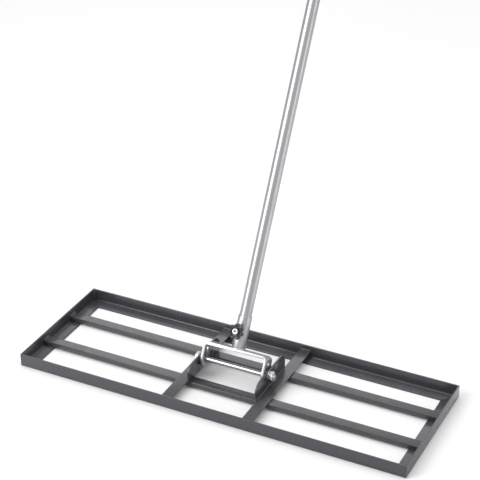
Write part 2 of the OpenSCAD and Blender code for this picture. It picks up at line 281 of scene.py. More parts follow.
def build_grain() -> None:
    """Builds the grain group: fine pimples and slow waviness, as height and speckle."""
    graph, given, result = start_group(
        Effect.GRAIN, [("Scale", 900.0), ("Waviness", 0.4)], ["Height", "Speckle"])
    place = graph.add("ShaderNodeTexCoord").outputs["Object"]
    fine = graph.noise(place, given.outputs["Scale"], 3.0)
    slow = graph.noise(place, graph.math("MULTIPLY", given.outputs["Scale"], SLOW_SHARE), 2.0)
    wave = graph.math("MULTIPLY", slow, given.outputs["Waviness"])
    graph.tree.links.new(graph.math("ADD", fine, wave), result.inputs["Height"])
    graph.tree.links.new(graph.remap(slow, *MIDDLE_BAND), result.inputs["Speckle"])


def build_edges() -> None:
    """Builds the edge group: a ragged mask along outer edges."""
    graph, given, result = start_group(
        Effect.EDGES, [("Radius", 0.0008), ("Amount", 0.5)], ["Mask"])
    soft = graph.add("ShaderNodeBevel", {"Radius": given.outputs["Radius"]}, samples=4)
    true = graph.add("ShaderNodeNewGeometry").outputs["Normal"]
    turn = graph.add("ShaderNodeVectorMath", {0: soft.outputs[0], 1: true}, operation="DOT_PRODUCT")
    edge = graph.remap(turn.outputs["Value"], *EDGE_TURN)
    place = graph.add("ShaderNodeTexCoord").outputs["Object"]
    ragged = graph.remap(graph.noise(place, RAGGED_SCALE, 5.0, 0.7), 0.42, 0.62)
    mask = graph.math("MULTIPLY", graph.math("MULTIPLY", edge, ragged), given.outputs["Amount"], True)
    graph.tree.links.new(mask, result.inputs["Mask"])


def build_streaks() -> None:
    """Builds the streak group: long fine lines along one turned axis."""
    graph, given, result = start_group(
        Effect.STREAKS, [("Tilt", 0.0), ("Across", 1500.0), ("Along", 12.0)], ["Height", "Bands"])
    place = graph.add("ShaderNodeTexCoord").outputs["Object"]
    turned = graph.add("ShaderNodeVectorRotate", {"Vector": place, "Angle": given.outputs["Tilt"]},
                       rotation_type="X_AXIS").outputs[0]
    stretch = graph.add("ShaderNodeCombineXYZ", {0: given.outputs["Across"], 1: given.outputs["Across"],
                                                 2: given.outputs["Along"]}).outputs[0]
    long = graph.add("ShaderNodeVectorMath", {0: turned, 1: stretch}, operation="MULTIPLY").outputs[0]
    fine = graph.noise(long, 1.0, 2.0)
    broad = graph.noise(long, BROAD_SHARE, 2.0)
    graph.tree.links.new(fine, result.inputs["Height"])
    graph.tree.links.new(graph.remap(broad, *MIDDLE_BAND), result.inputs["Bands"])


def build_dust() -> None:
    """Builds the dust group: a thin patchy film on faces that look up."""
    graph, given, result = start_group(Effect.DUST, [("Amount", 0.2), ("Patch", 30.0)], ["Mask"])
    up = graph.add("ShaderNodeSeparateXYZ", {0: graph.add("ShaderNodeNewGeometry").outputs["Normal"]})
    facing = graph.remap(up.outputs["Z"], *UPWARD)
    place = graph.add("ShaderNodeTexCoord").outputs["Object"]
    patch = graph.remap(graph.noise(place, given.outputs["Patch"], 6.0, 0.6), *PATCHES)
    mask = graph.math("MULTIPLY", graph.math("MULTIPLY", facing, patch), given.outputs["Amount"], True)
    graph.tree.links.new(mask, result.inputs["Mask"])


def effect(graph: Graph, kind: Effect, values: dict[str, float]) -> bpy.types.Node:
    """Places a shared effect in a material.

    Args:
        graph: The material's graph.
        kind: Which effect.
        values: The effect's inputs by name.

    Returns:
        The group node.
    """
    node = graph.add("ShaderNodeGroup", node_tree=bpy.data.node_groups[kind.value])
    for name, value in values.items():
        node.inputs[name].default_value = value
    return node


# --------------------------------------------------------------- finishes

Rgb = tuple[float, float, float]


def rgba(colour: Rgb) -> tuple[float, float, float, float]:
    """Adds full opacity to a colour."""
    return (*colour, 1.0)


@dataclass(frozen=True)
class Finish:
    """What every finish has: a name, a record slot and its main values."""

    name: str
    slot: str
    colour: Rgb
    roughness: float

    def start(self) -> tuple[bpy.types.Material, Graph, bpy.types.Node]:
        """Makes the material with its Principled shader.

        Returns:
            The material, its graph and the shader node.
        """
        material = bpy.data.materials.new(self.name)
        material.use_nodes = True
        graph = Graph(material.node_tree)
        shader = graph.add("ShaderNodeBsdfPrincipled", {"Base Color": rgba(self.colour),
                                                        "Roughness": self.roughness})
        out = graph.add("ShaderNodeOutputMaterial")
        graph.tree.links.new(shader.outputs[0], out.inputs[0])
        return material, graph, shader

    def bump(self, graph: Graph, shader: bpy.types.Node, height: bpy.types.NodeSocket,
             distance: float) -> None:
        """Feeds a height to the shader's normal.

        Args:
            graph: The material's graph.
            shader: The Principled node.
            height: The height socket.
            distance: Depth of the relief, in metres.
        """
        node = graph.add("ShaderNodeBump", {"Height": height, "Distance": distance, "Strength": 1.0})
        graph.tree.links.new(node.outputs[0], shader.inputs["Normal"])


@dataclass(frozen=True)
class PowderCoat(Finish):
    """Semi-gloss powder coat: orange peel, slightly rubbed edges and a little dust."""

    peel_scale: float = 1100.0
    peel_depth: float = 0.000005
    rubbed: Rgb = (0.17, 0.168, 0.185)
    dust: Rgb = (0.25, 0.245, 0.255)
    coat: float = 0.4
    coat_roughness: float = 0.12
    peel_waviness: float = 1.2
    edge_radius: float = 0.0007
    edge_wear: float = 0.55
    dust_amount: float = 0.10
    dust_patch: float = 24.0
    mottle: float = 0.88
    rough_swing: float = 0.07
    rough_drop: float = 0.03

    def build(self) -> bpy.types.Material:
        """Builds the material.

        Returns:
            The new material.
        """
        material, graph, shader = self.start()
        grain = effect(graph, Effect.GRAIN, {"Scale": self.peel_scale, "Waviness": self.peel_waviness})
        edges = effect(graph, Effect.EDGES, {"Radius": self.edge_radius, "Amount": self.edge_wear})
        dust = effect(graph, Effect.DUST, {"Amount": self.dust_amount, "Patch": self.dust_patch})
        deep = tuple(c * self.mottle for c in self.colour)
        base = graph.mix(grain.outputs["Speckle"], rgba(self.colour), rgba(deep))
        worn = graph.mix(edges.outputs["Mask"], base, rgba(self.rubbed))
        graph.tree.links.new(graph.mix(dust.outputs["Mask"], worn, rgba(self.dust)),
                             shader.inputs["Base Color"])
        rough = graph.math("MULTIPLY_ADD", grain.outputs["Speckle"], self.rough_swing)
        rough.node.inputs[2].default_value = self.roughness - self.rough_drop
        graph.tree.links.new(rough, shader.inputs["Roughness"])
        shader.inputs["Coat Weight"].default_value = self.coat
        shader.inputs["Coat Roughness"].default_value = self.coat_roughness
        self.bump(graph, shader, grain.outputs["Height"], self.peel_depth)
        return material


@dataclass(frozen=True)
class BrightMetal(Finish):
    """Plated or drawn metal: streaks along one axis, cloudy plating and soft edges."""

    tilt: float = 0.0
    across: float = 1500.0
    along: float = 14.0
    streak_depth: float = 0.000004
    clouded: Rgb = (0.62, 0.63, 0.66)
    edge_tint: Rgb = (0.42, 0.43, 0.46)
    cloud_scale: float = 420.0
    cloud_waviness: float = 2.0
    cloud_share: float = 0.55
    band_swing: float = 0.06
    haze_swing: float = 0.08
    haze_drop: float = 0.05

    def build(self) -> bpy.types.Material:
        """Builds the material.

        Returns:
            The new material.
        """
        material, graph, shader = self.start()
        streaks = effect(graph, Effect.STREAKS,
                         {"Tilt": self.tilt, "Across": self.across, "Along": self.along})
        grain = effect(graph, Effect.GRAIN,
                       {"Scale": self.cloud_scale, "Waviness": self.cloud_waviness})
        cloud = graph.math("MULTIPLY", grain.outputs["Speckle"], self.cloud_share)
        base = graph.mix(cloud, rgba(self.colour), rgba(self.clouded))
        graph.tree.links.new(base, shader.inputs["Base Color"])
        band = graph.math("MULTIPLY", streaks.outputs["Bands"], self.band_swing)
        haze = graph.math("MULTIPLY_ADD", grain.outputs["Speckle"], self.haze_swing)
        haze.node.inputs[2].default_value = self.roughness - self.haze_drop
        graph.tree.links.new(graph.math("ADD", haze, band), shader.inputs["Roughness"])
        shader.inputs["Metallic"].default_value = 1.0
        shader.inputs["Specular Tint"].default_value = rgba(self.edge_tint)
        self.bump(graph, shader, streaks.outputs["Height"], self.streak_depth)
        return material


@dataclass(frozen=True)
class MouldedPlastic(Finish):
    """Moulded plastic or rubber: fine spark texture, scuffed edges and faint dust."""

    texture_scale: float = 1600.0
    texture_depth: float = 0.00001
    scuffed: Rgb = (0.10, 0.10, 0.105)
    specular: float = 0.5
    coat: float = 0.0
    coat_roughness: float = 0.08
    dust: Rgb = (0.22, 0.21, 0.20)
    texture_waviness: float = 0.6
    edge_radius: float = 0.0012
    edge_wear: float = 0.45
    dust_amount: float = 0.12
    dust_patch: float = 60.0
    rough_swing: float = 0.12
    rough_drop: float = 0.05

    def build(self) -> bpy.types.Material:
        """Builds the material.

        Returns:
            The new material.
        """
        material, graph, shader = self.start()
        grain = effect(graph, Effect.GRAIN,
                       {"Scale": self.texture_scale, "Waviness": self.texture_waviness})
        edges = effect(graph, Effect.EDGES, {"Radius": self.edge_radius, "Amount": self.edge_wear})
        dust = effect(graph, Effect.DUST, {"Amount": self.dust_amount, "Patch": self.dust_patch})
        worn = graph.mix(edges.outputs["Mask"], rgba(self.colour), rgba(self.scuffed))
        graph.tree.links.new(graph.mix(dust.outputs["Mask"], worn, rgba(self.dust)),
                             shader.inputs["Base Color"])
        rough = graph.math("MULTIPLY_ADD", grain.outputs["Speckle"], self.rough_swing)
        rough.node.inputs[2].default_value = self.roughness - self.rough_drop
        graph.tree.links.new(rough, shader.inputs["Roughness"])
        shader.inputs["Specular IOR Level"].default_value = self.specular
        shader.inputs["Coat Weight"].default_value = self.coat
        shader.inputs["Coat Roughness"].default_value = self.coat_roughness
        self.bump(graph, shader, grain.outputs["Height"], self.texture_depth)
        return material


POLE_TILT = math.radians(28.5)    # lean of the pole from upright, for the streaks' direction


@dataclass
class Paintshop:
    """All of the rake's finishes, built once."""

    frame_coat: PowderCoat = PowderCoat("frame_powder_coat", "frame_paint", (0.046, 0.0445, 0.054), 0.30)
    weld_coat: PowderCoat = PowderCoat("weld_powder_coat", "frame_paint", (0.050, 0.0485, 0.058), 0.24,
                                       peel_scale=700.0, coat=0.6)
    zinc: BrightMetal = BrightMetal("bright_zinc_strap", "zinc_plate", (0.54, 0.545, 0.56), 0.33,
                                    tilt=POLE_TILT, across=500.0, along=30.0,
                                    clouded=(0.46, 0.465, 0.48))
    fastener: BrightMetal = BrightMetal("zinc_fastener", "zinc_plate", (0.52, 0.525, 0.54), 0.24,
                                        across=900.0, along=900.0, clouded=(0.42, 0.425, 0.44))
    tube: BrightMetal = BrightMetal("drawn_steel_tube", "tube_steel", (0.53, 0.53, 0.545), 0.34,
                                    tilt=POLE_TILT, clouded=(0.48, 0.48, 0.495))
    spring: BrightMetal = BrightMetal("spring_steel", "spring_steel", (0.52, 0.53, 0.55), 0.30,
                                      clouded=(0.40, 0.41, 0.43))
    brass: BrightMetal = BrightMetal("turned_brass", "pad_brass", (0.80, 0.60, 0.30), 0.26,
                                     clouded=(0.60, 0.44, 0.22))
    knob: MouldedPlastic = MouldedPlastic("black_moulded_knob", "knob_plastic", (0.016, 0.016, 0.018),
                                          0.22, texture_scale=900.0, texture_depth=0.000004, coat=0.3)
    grip: MouldedPlastic = MouldedPlastic("grey_rubber_grip", "grip_rubber", (0.045, 0.046, 0.050),
                                          0.62, texture_scale=2200.0, texture_depth=0.00004,
                                          specular=0.35)
    made: dict[str, bpy.types.Material] = field(default_factory=dict)

    def material(self, finish: Finish) -> bpy.types.Material:
        """Builds a finish once and gives its material.

        Args:
            finish: One of the paintshop's finishes.

        Returns:
            The shared material.
        """
        if finish.name not in self.made:
            self.made[finish.name] = finish.build()
        return self.made[finish.name]

    def dress(self, node: str, finish: Finish) -> None:
        """Gives a carried-over node its finish.

        Args:
            node: The node's name.
            finish: The finish for all of its slots.
        """
        part = frame["nodes"][node]
        for slot in part.material_slots:
            slot.material = self.material(finish)
        if not part.material_slots:
            part.data.materials.append(self.material(finish))
        log.info("dressed %s in %s", node, finish.name)


# ------------------------------------------------------------ mesh making


def revolve(profile: Sequence[Point], place: Place, segments: int = 64,
            loop: bool = False) -> MeshData:
    """Turns a profile about a place's z axis.

    Args:
        profile: Points of (radius, height); a radius of zero becomes one vertex.
        place: Where the axis is.
        segments: Steps round the axis.
        loop: Whether the last point joins the first.

    Returns:
        Vertices and faces.
    """
    points: list[Vector] = []
    rings: list[list[int]] = []
    for radius, height in profile:
        if radius < 1e-7:
            rings.append([len(points)] * segments)
            points.append(place.at(0, 0, height))
            continue
        rings.append(list(range(len(points), len(points) + segments)))
        for k in range(segments):
            a = 2 * math.pi * k / segments
            points.append(place.at(radius * math.cos(a), radius * math.sin(a), height))
    return points, bridge(rings, loop)


def bridge(rings: Sequence[Sequence[int]], loop: bool) -> list[tuple[int, ...]]:
    """Joins neighbouring rings of equal length with faces.

    Args:
        rings: Vertex indices of each closed ring.
        loop: Whether the last ring joins the first.

    Returns:
        Faces, with repeated corners removed.
    """
    faces = []
    pairs = list(zip(rings, rings[1:])) + ([(rings[-1], rings[0])] if loop else [])
    for low, high in pairs:
        for k in range(len(low)):
            n = (k + 1) % len(low)
            corners = tuple(dict.fromkeys((low[k], low[n], high[n], high[k])))
            if len(corners) > 2:
                faces.append(corners)
    return faces


def loft(rings: Sequence[Sequence[Vector]], loop: bool = False) -> MeshData:
    """Skins a row of closed rings and caps its ends.

    Args:
        rings: Rings with the same number of points.
        loop: Whether the last ring joins the first, with no caps.

    Returns:
        Vertices and faces.
    """
    count = len(rings[0])
    points = [p for ring in rings for p in ring]
    indices = [list(range(i * count, (i + 1) * count)) for i in range(len(rings))]
    faces = bridge(indices, loop)
    if not loop:
        faces.append(tuple(reversed(indices[0])))
        faces.append(tuple(indices[-1]))
    return points, faces


def radial_loft(place: Place, heights: Sequence[float], radius: Callable[[float, float], float],
                segments: int = ROUND_TURN) -> MeshData:
    """Skins a solid whose radius depends on angle and height.

    Args:
        place: Where the axis is.
        heights: Heights of the rings.
        radius: Gives the radius for an angle and a height.
        segments: Steps round the axis.

    Returns:
        Vertices and faces, capped at both ends.
    """
    turns = [2 * math.pi * k / segments for k in range(segments)]
    return loft([[place.at(radius(a, z) * math.cos(a), radius(a, z) * math.sin(a), z) for a in turns]
                 for z in heights])


def row_loft(place: Place, rows: Sequence[tuple[Callable[[float], float], float]],
             segments: int = FINE_TURN) -> MeshData:
    """Skins a closed shell from rows that each have their own outline.

    Args:
        place: Where the axis is.
        rows: Pairs of an outline, which gives the radius for an angle, and a height.
        segments: Steps round the axis.

    Returns:
        Vertices and faces, with the last row joined to the first.
    """
    turns = [2 * math.pi * k / segments for k in range(segments)]
    return loft([[place.at(outline(a) * math.cos(a), outline(a) * math.sin(a), z) for a in turns]
                 for outline, z in rows], loop=True)


def circle(radius: float) -> Callable[[float], float]:
    """Gives a round outline."""
    return lambda angle: radius


def smooth(t: float) -> float:
    """Gives a step from 0 to 1 with soft ends."""
    return 3 * t * t - 2 * t ** 3


def arc(centre: Point, radius: float, start: float, end: float, steps: int = 6) -> list[Point]:
    """Gives points along an arc.

    Args:
        centre: Centre of the arc.
        radius: Its radius.
        start: First angle in degrees.
        end: Last angle in degrees.
        steps: Number of chords.

    Returns:
        Points from start to end.
    """
    turns = [math.radians(start + (end - start) * k / steps) for k in range(steps + 1)]
    return [(centre[0] + radius * math.cos(a), centre[1] + radius * math.sin(a)) for a in turns]


def steps(start: float, end: float, count: int) -> list[float]:
    """Gives evenly spaced numbers, both ends included."""
    return [start + (end - start) * k / count for k in range(count + 1)]


@dataclass
class Workbench:
    """Turns mesh data into finished pieces that ride on the frame's bodies."""

    shop: Paintshop

    def piece(self, name: str, data: MeshData | Iterable[MeshData], finish: Finish, body: str,
              replaces: Sequence[str] = ()) -> bpy.types.Object:
        """Makes one finished piece.

        Args:
            name: The piece's name.
            data: Its mesh data, or several solids for one piece.
            finish: Its finish.
            body: The body that it rides on.
            replaces: Nodes that it stands for.

        Returns:
            The new object.
        """
        parts = [data] if isinstance(data, tuple) else list(data)
        mesh = bpy.data.meshes.new(name)
        points: list[Vector] = []
        faces: list[tuple[int, ...]] = []
        for some_points, some_faces in parts:
            shift = len(points)
            points.extend(some_points)
            faces.extend(tuple(i + shift for i in f) for f in some_faces)
        mesh.from_pydata(points, [], faces)
        work = bmesh.new()
        work.from_mesh(mesh)
        bmesh.ops.recalc_face_normals(work, faces=work.faces)
        work.to_mesh(mesh)
        work.free()
        return self.finish_piece(name, mesh, finish, body, replaces)

    def finish_piece(self, name: str, mesh: bpy.types.Mesh, finish: Finish, body: str,
                     replaces: Sequence[str]) -> bpy.types.Object:
        """Shades a mesh, gives it a finish and sets it on its body.

        Args:
            name: The piece's name.
            mesh: Its mesh.
            finish: Its finish.
            body: The body that it rides on.
            replaces: Nodes that it stands for.

        Returns:
            The new object.
        """
        mesh.shade_smooth()
        mesh.set_sharp_from_angle(angle=SMOOTH_ANGLE)
        mesh.materials.clear()
        mesh.materials.append(self.shop.material(finish))
        made = bpy.data.objects.new(name, mesh)
        bpy.context.scene.collection.objects.link(made)
        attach(made, body)
        if replaces:
            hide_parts(*replaces)
        log.info("made %s on %s: %d faces, %s", name, body, len(mesh.polygons), finish.name)
        return made

    def eased(self, node: str, finish: Finish, body: str, width: float = 0.0004) -> bpy.types.Object:
        """Makes a copy of a node with its sharp edges eased, and lets it stand for the node.

        Args:
            node: The node's name.
            finish: The finish of the copy.
            body: The body that it rides on.
            width: Width of the eased edges, in metres.

        Returns:
            The new object.
        """
        mesh = frame["nodes"][node].data.copy()
        mesh.name = f"{node}_eased"
        work = bmesh.new()
        work.from_mesh(mesh)
        bmesh.ops.remove_doubles(work, verts=work.verts, dist=1e-6)
        bmesh.ops.dissolve_limit(work, angle_limit=FLAT_ANGLE, verts=work.verts, edges=work.edges)
        sharp = [e for e in work.edges if len(e.link_faces) == 2 and e.calc_face_angle(0) > EASE_ANGLE]
        bmesh.ops.bevel(work, geom=sharp, offset=width, segments=2, profile=0.5, affect="EDGES",
                        clamp_overlap=True)
        bmesh.ops.recalc_face_normals(work, faces=work.faces)
        work.to_mesh(mesh)
        work.free()
        if mesh.attributes.get("custom_normal"):
            mesh.attributes.remove(mesh.attributes["custom_normal"])
        return self.finish_piece(f"{node}_eased", mesh, finish, body, [node])


# ----------------------------------------------------------- frame pieces

FRAME = "frame"
YOKE = "yoke"
KNOB = "clamp_knob"
POLE = "pole"
UP = Vector((0, 0, 1))


@dataclass
class LadderFrame:
    """The welded frame: rails, inner bars, cross bars and pivot plates."""

    bench: Workbench
    rails: tuple[str, ...] = ("front_rail", "rear_rail", "left_end_rail", "right_end_rail")
    bars: tuple[str, ...] = ("front_inner_bar", "rear_inner_bar", "left_cross_bar", "right_cross_bar")
    plates: tuple[str, ...] = ("left_pivot_plate", "right_pivot_plate")
    bar_ease: float = 0.25 * MM

    def build(self) -> None:
        """Makes every member of the frame with eased edges."""
        for node in self.rails + self.plates:
            self.bench.eased(node, self.bench.shop.frame_coat, FRAME)
        for node in self.bars:
            self.bench.eased(node, self.bench.shop.frame_coat, FRAME, width=self.bar_ease)


@dataclass
class WeldSeams:
    """Weld beads laid in the corners between the frame's members."""

    bench: Workbench
    ripple_pitch: float = 1.5 * MM
    ripple_depth: float = 0.16
    lag: float = 0.9 * MM
    arc_steps: int = 7
    corner_r: float = 2.8 * MM
    bar_r: float = 3.8 * MM
    strip_r: float = 2.4 * MM
    plate_r: float = 1.4 * MM
    bar_sink: float = 0.9 * MM
    bar_margin: float = 1.2 * MM
    fill_margin: float = 2 * MM
    strip_margin: float = 1 * MM
    plate_margin: float = 2 * MM
    points_per_ripple: int = 4
    crest_power: float = 0.6
    wander: float = 0.05
    sag: float = 0.16
    end_share: float = 0.45

    def bead(self, start: Vector, end: Vector, wall_a: Vector, wall_b: Vector,
             radius: float) -> MeshData:
        """Lays one bead along the line where two walls meet.

        Args:
            start: First end of the line.
            end: Other end of the line.
            wall_a: Direction away from the line along one wall.
            wall_b: Direction away from the line along the other wall.
            radius: Size of the bead's legs.

        Returns:
            Vertices and faces.
        """
        run = end - start
        along = run.normalized()
        count = max(4, round(run.length / self.ripple_pitch))
        stops = count * self.points_per_ripple
        rings = []
        for t in steps(0.0, 1.0, stops):
            from_end = min(t, 1 - t)
            crest = abs(math.sin(math.pi * t * count)) ** self.crest_power
            wander = 1 + self.wander * math.sin(9.0 * t + radius * 1e4)
            taper = min(1.0, self.end_share + 5 * from_end * run.length / (radius * 5))
            r = radius * wander * taper * (1 - self.ripple_depth * (1 - crest))
            centre = start + run * t
            ring = [centre]
            for step in range(self.arc_steps + 1):
                a = math.pi / 2 * step / self.arc_steps
                bulge = 1 - self.sag * math.sin(2 * a)
                drag = along * (self.lag * (math.sin(2 * a) - 0.5) * min(1.0, 4 * from_end))
                side = wall_a * (math.cos(a) * r * bulge) + wall_b * (math.sin(a) * r * bulge)
                ring.append(centre + side + drag)
            rings.append(ring)
        return loft(rings)

    def corner_beads(self) -> list[MeshData]:
        """Lays the upright beads in the frame's four inner corners.

        Returns:
            One bead for each seam.
        """
        low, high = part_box("corner_welds")
        beads = []
        for x in (low.x, high.x):
            for y in (low.y, high.y):
                inward_x = Vector((-math.copysign(1, x), 0, 0))
                inward_y = Vector((0, -math.copysign(1, y), 0))
                beads.append(self.bead(Vector((x, y, low.z)), Vector((x, y, high.z)),
                                       inward_x, inward_y, self.corner_r))
        return beads

    def bar_beads(self) -> list[MeshData]:
        """Lays the beads that fill the gap between the inner bars' ends and the end rails.

        Returns:
            One bead for each seam.
        """
        beads = []
        low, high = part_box("bar_end_welds")
        for node in ("front_inner_bar", "rear_inner_bar"):
            bar_low, bar_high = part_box(node)
            for x in (low.x, high.x):
                inward = Vector((-math.copysign(1, x), 0, 0))
                for z, margin, size in ((bar_high.z - self.bar_sink, self.bar_margin, self.bar_r),
                                        (low.z, self.fill_margin, high.z - low.z)):
                    beads.append(self.bead(Vector((x, bar_low.y + margin, z)),
                                           Vector((x, bar_high.y - margin, z)), inward, UP, size))
        return beads

    def cross_bar_beads(self) -> list[MeshData]:
        """Lays the beads where the cross bars meet the long rails.

        Returns:
            One bead for each seam.
        """
        beads = []
        for node in ("left_cross_bar", "right_cross_bar"):
            low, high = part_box(node)
            for y in (low.y, high.y):
                inward = Vector((0, -math.copysign(1, y), 0))
                beads.append(self.bead(Vector((low.x + self.strip_margin, y, high.z)),
                                       Vector((high.x - self.strip_margin, y, high.z)),
                                       inward, UP, self.strip_r))
        return beads

    def plate_beads(self) -> list[MeshData]:
        """Lays the long beads at the feet of the pivot plates.

        Returns:
            One bead for each seam.
        """
        beads = []
        bar_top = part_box("left_cross_bar")[1].z
        for node, outward in (("left_pivot_plate", -1.0), ("right_pivot_plate", 1.0)):
            low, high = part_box(node)
            x = low.x if outward < 0 else high.x
            beads.append(self.bead(Vector((x, low.y + self.plate_margin, bar_top)),
                                   Vector((x, high.y - self.plate_margin, bar_top)),
                                   Vector((outward, 0, 0)), UP, self.plate_r))
        return beads

    def build(self) -> None:
        """Lays every bead on the frame."""
        coat = self.bench.shop.weld_coat
        self.bench.piece("corner_beads", self.corner_beads(), coat, FRAME, ["corner_welds"])
        self.bench.piece("bar_end_beads", self.bar_beads(), coat, FRAME, ["bar_end_welds"])
        self.bench.piece("cross_bar_beads", self.cross_bar_beads(), coat, FRAME, ["cross_bar_welds"])
        self.bench.piece("plate_foot_beads", self.plate_beads(), coat, FRAME, ["plate_welds"])


# --------------------------------------------------------- pivot hardware


@dataclass
class ThreadForm:
    """A cut thread on a round shank."""

    major_r: float
    pitch: float
    depth: float
    crest_flat: float = 0.06
    flank_share: float = 0.82

    def radius(self, angle: float, height: float) -> float:
        """Gives the thread's radius.

        Args:
            angle: Angle round the shank.
            height: Height along the shank.

        Returns:
            The radius there.
        """
        phase = (height / self.pitch - angle / (2 * math.pi)) % 1.0
        flank = abs(2 * phase - 1)
        cut = min(1.0, max(0.0, (flank - self.crest_flat) / self.flank_share))
        return self.major_r - self.depth * cut


@dataclass
class PivotHardware:
    """The pivot bolt with its lock nut and washers, along the x axis."""

    bench: Workbench
    shank_r: float = 5.0 * MM
    flats: float = 17.0 * MM
    head_height: float = 6.4 * MM
    thread: ThreadForm = field(default_factory=lambda: ThreadForm(5.0 * MM, 1.5 * MM, 0.75 * MM))
    thread_length: float = 15.0 * MM
    washer_r: float = 10.0 * MM
    washer_hole_r: float = 5.2 * MM
    collar_r: float = 7.0 * MM
    collar_height: float = 1.8 * MM
    collar_round: float = 0.8 * MM
    cone_slope: float = 1.9
    crown_share: float = 0.475
    crown_depth: float = 1.1 * MM
    washer_roll: float = 0.7 * MM
    thread_relief: float = 0.8 * MM

    def hex_radius(self, angle: float) -> float:
        """Gives the distance to a hexagon's side at an angle."""
        return self.flats / 2 / math.cos((angle % SIXTH_TURN) - SIXTH_TURN / 2)

    def hex_block(self, place: Place, base: float, top: float, crown_top: bool,
                  crown_base: bool) -> MeshData:
        """Makes a hexagon whose crowned ends are turned to a cone.

        Args:
            place: Where the axis is.
            base: Height of the seat.
            top: Height of the far end.
            crown_top: Whether the far end is turned down.
            crown_base: Whether the seat is turned down.

        Returns:
            Vertices and faces.
        """
        flat_r = self.flats * self.crown_share

        def limit(angle: float, z: float) -> float:
            """Gives the radius left after turning the ends.

            Args:
                angle: Angle round the axis.
                z: Height.

            Returns:
                The radius there.
            """
            radius = self.hex_radius(angle)
            if crown_top:
                radius = min(radius, flat_r + (top - z) * self.cone_slope)
            if crown_base:
                radius = min(radius, flat_r + (z - base) * self.cone_slope)
            return radius

        ends = steps(0, self.crown_depth, 6)
        heights = [base + e for e in ends] + [top - e for e in reversed(ends)]
        return radial_loft(place, heights, limit, 120)

    def washer(self, place: Place, low: float, high: float) -> MeshData:
        """Makes a stamped washer: one edge rolled over, the other crisp.

        Args:
            place: Where the axis is.
            low: Height of its crisp face.
            high: Height of its rolled face.

        Returns:
            Vertices and faces.
        """
        step = self.washer_roll
        roll = step if high > low else -step
        ring = [(self.washer_hole_r, low), (self.washer_r - 0.15 * MM, low),
                (self.washer_r, low + roll * 0.2), (self.washer_r, high - roll),
                (self.washer_r - step * 0.3, high - roll * 0.3),
                (self.washer_r - step, high), (self.washer_hole_r + 0.3 * MM, high),
                (self.washer_hole_r, high - roll * 0.4)]
        return revolve(ring, place, ROUND_TURN, loop=True)

    def bolt(self, axis: Place) -> list[MeshData]:
        """Makes the bolt: a crowned head, a smooth shank and a threaded end.

        Args:
            axis: A place on the pivot's axis with z to the right.

        Returns:
            The bolt's solids.
        """
        low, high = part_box("pivot_bolt")
        seat = low.x + self.head_height
        thread_start = high.x - self.thread_length
        head = self.hex_block(axis, low.x, seat - 0.3 * MM, False, True)
        collar = revolve([(0, seat - 0.35 * MM), (self.flats * 0.46, seat - 0.35 * MM),
                          (self.flats * 0.46, seat), (0, seat)], axis, FINE_TURN)
        relief = thread_start + self.thread_relief
        shank = revolve([(0, seat - 0.2 * MM), (self.shank_r, seat - 0.2 * MM),
                         (self.shank_r, thread_start), (self.shank_r - self.thread_relief, relief),
                         (0, relief)], axis)
        rings = round((high.x - thread_start) / self.thread.pitch * 10)

        def cut(angle: float, z: float) -> float:
            """Gives the thread's radius, run out at the tip."""
            tip = self.shank_r - max(0.0, z - (high.x - 1 * MM))
            return min(self.thread.radius(angle, z), tip)

        threaded = radial_loft(axis, steps(thread_start, high.x, rings), cut, COARSE_TURN)
        return [head, collar, shank, threaded]

    def nut(self, axis: Place) -> list[MeshData]:
        """Makes the lock nut: a crowned hexagon with a locking collar.

        Args:
            axis: A place on the pivot's axis with z to the right.

        Returns:
            The nut's solids.
        """
        low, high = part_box("pivot_nut")
        crown = high.x - self.collar_height
        body = self.hex_block(axis, low.x, crown, True, True)
        bore = self.shank_r + 0.05 * MM
        bend = high.x - self.collar_round
        collar = [(bore, crown - 0.2 * MM), (self.collar_r, crown - 0.2 * MM), (self.collar_r, bend)]
        collar += arc((self.collar_r - self.collar_round, bend), self.collar_round, 0, 90, 5)
        collar += [(bore + 0.5 * MM, high.x), (bore, high.x - 0.5 * MM)]
        return [body, revolve(collar, axis, ROUND_TURN, loop=True)]

    def build(self) -> None:
        """Makes the bolt, the nut and both pairs of washers."""
        axis = side_place()
        row_axis = Place(Vector((0, axis.origin.y, axis.origin.z)), axis.x, axis.y, axis.z)
        shop = self.bench.shop
        self.bench.piece("threaded_pivot_bolt", self.bolt(row_axis), shop.fastener, FRAME,
                         ["pivot_bolt"])
        self.bench.piece("crowned_lock_nut", self.nut(row_axis), shop.fastener, FRAME,
                         ["pivot_nut"])
        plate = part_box("right_pivot_plate")
        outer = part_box("outer_washers")[1].x
        inner = plate[0].x - (outer - plate[1].x)
        for side, seat, far in (("outer", plate[1].x, outer), ("inner", plate[0].x, inner)):
            pair = [self.washer(row_axis, seat, far), self.washer(row_axis, -seat, -far)]
            self.bench.piece(f"stamped_{side}_washers", pair, shop.fastener, FRAME, [f"{side}_washers"])


# --------------------------------------------------------- yoke and clamp


